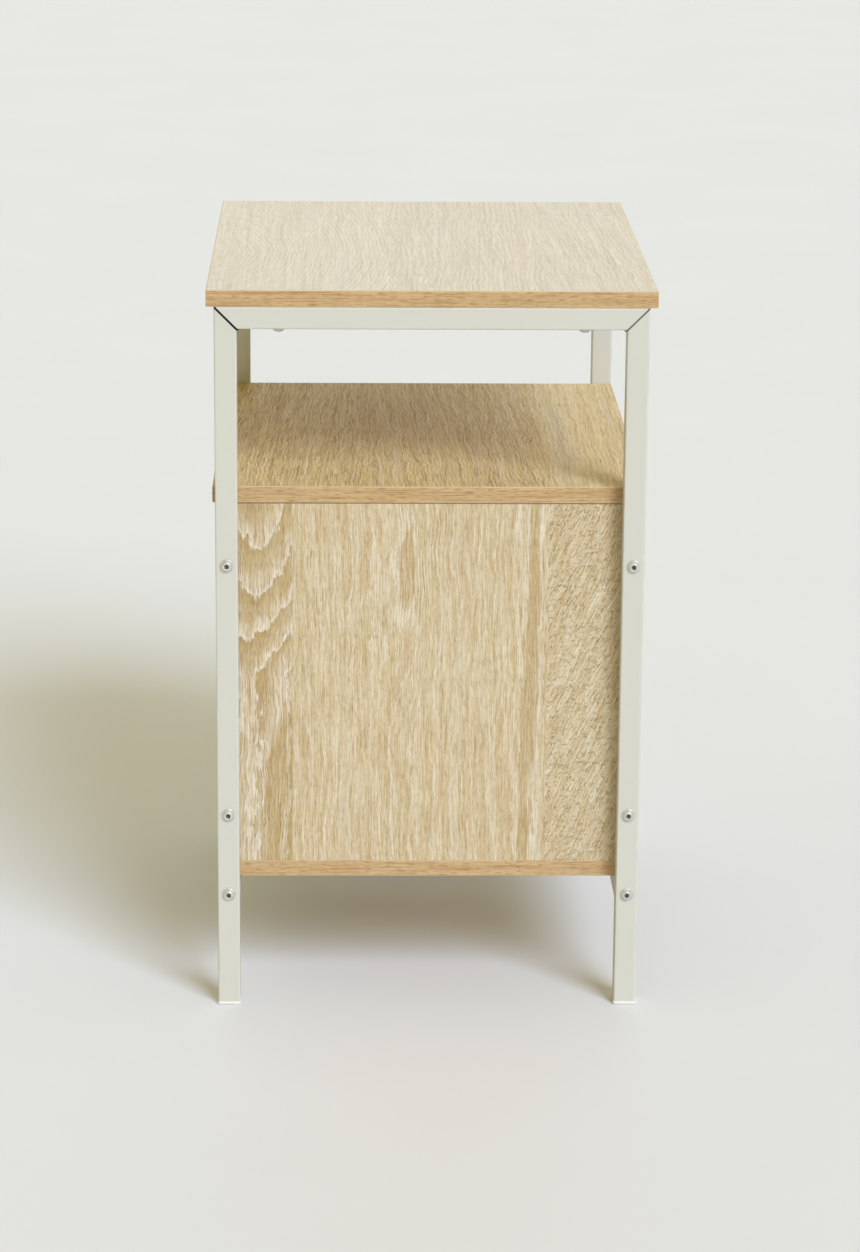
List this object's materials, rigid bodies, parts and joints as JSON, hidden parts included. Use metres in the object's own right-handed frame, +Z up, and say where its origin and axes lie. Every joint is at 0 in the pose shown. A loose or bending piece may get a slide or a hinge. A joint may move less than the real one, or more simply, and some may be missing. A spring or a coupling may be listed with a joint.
{
  "type": "storage side table with door",
  "caption": "Side table on two square-tube steel frames, with an open bay over a cabinet whose inset door turns on pivot pins and closes on a push latch.",
  "frame": {"origin": "on the floor, under the middle of the tabletop", "axes": "+Z up, the door faces -Y, +X to the right-hand side frame"},
  "size_m": [0.5068, 0.4, 0.67],
  "materials": {
    "frame_coating": "satin light warm grey powder coat",
    "foot_plastic": "moulded, pale",
    "plated_steel": "zinc plated",
    "insert_steel": "zinc plated",
    "board_oak_print": "pale oak print on particle board",
    "panel_oak_print": "oak print on particle board, grain upright",
    "edge_band": "wood-print edge band",
    "hardboard": "thin hardboard",
    "cast_zinc": "die-cast zinc",
    "beech": "turned beech",
    "white_nylon": "moulded nylon",
    "latch_plastic": "moulded",
    "magnet_nickel": "nickel plated",
    "spring_steel": "drawn wire"
  },
  "bodies": {
    "table": {"back_panel": "hardboard", "bottom_board": "board_oak_print", "bottom_board_edge_bands": "edge_band", "cam_bolts": "plated_steel", "cam_discs": "cast_zinc", "door_pivot_bushes": "white_nylon", "frame_weld_beads": "frame_coating", "front_lower_rail": "frame_coating", "left_front_foot_cap": "foot_plastic", "left_front_leg": "frame_coating", "left_rear_foot_cap": "foot_plastic", "left_rear_leg": "frame_coating", "left_side_panel": "panel_oak_print", "left_side_panel_edge_bands": "edge_band", "left_top_rail": "frame_coating", "lower_rail_bolts": "plated_steel", "lower_rail_end_nuts": "insert_steel", "push_latch_body": "latch_plastic", "push_latch_screws": "plated_steel", "push_latch_spring": "spring_steel", "rear_lower_rail": "frame_coating", "right_front_foot_cap": "foot_plastic", "right_front_leg": "frame_coating", "right_rear_foot_cap": "foot_plastic", "right_rear_leg": "frame_coating", "right_side_panel": "panel_oak_print", "right_side_panel_edge_bands": "edge_band", "right_top_rail": "frame_coating", "shelf": "board_oak_print", "shelf_edge_bands": "edge_band", "side_panel_bolts": "plated_steel", "side_panel_insert_nuts": "insert_steel", "tabletop": "board_oak_print", "tabletop_bolts": "plated_steel", "tabletop_edge_bands": "edge_band", "tabletop_insert_nuts": "insert_steel", "wood_dowels": "beech"},
    "door": {"door_panel": "panel_oak_print", "door_edge_bands": "edge_band", "door_pivot_pins": "plated_steel", "strike_plate": "plated_steel", "strike_plate_screw": "plated_steel"},
    "latch_plunger": {"push_latch_plunger": "latch_plastic", "push_latch_magnet": "magnet_nickel"}
  },
  "joints": [
    {"name": "door_hinge", "type": "hinge", "parent": "table", "child": "door", "pos_m": [-0.202, -0.1855, 0.3035], "axis": [0, 0, -1], "range_deg": [0, 110]},
    {"name": "latch_push", "type": "slide", "parent": "table", "child": "latch_plunger", "axis": [0, 1, 0], "range_m": [0, 0.003], "stiffness_N_per_m": 300, "springref_m": -0.008, "deforming": ["push_latch_spring"]}
  ]
}
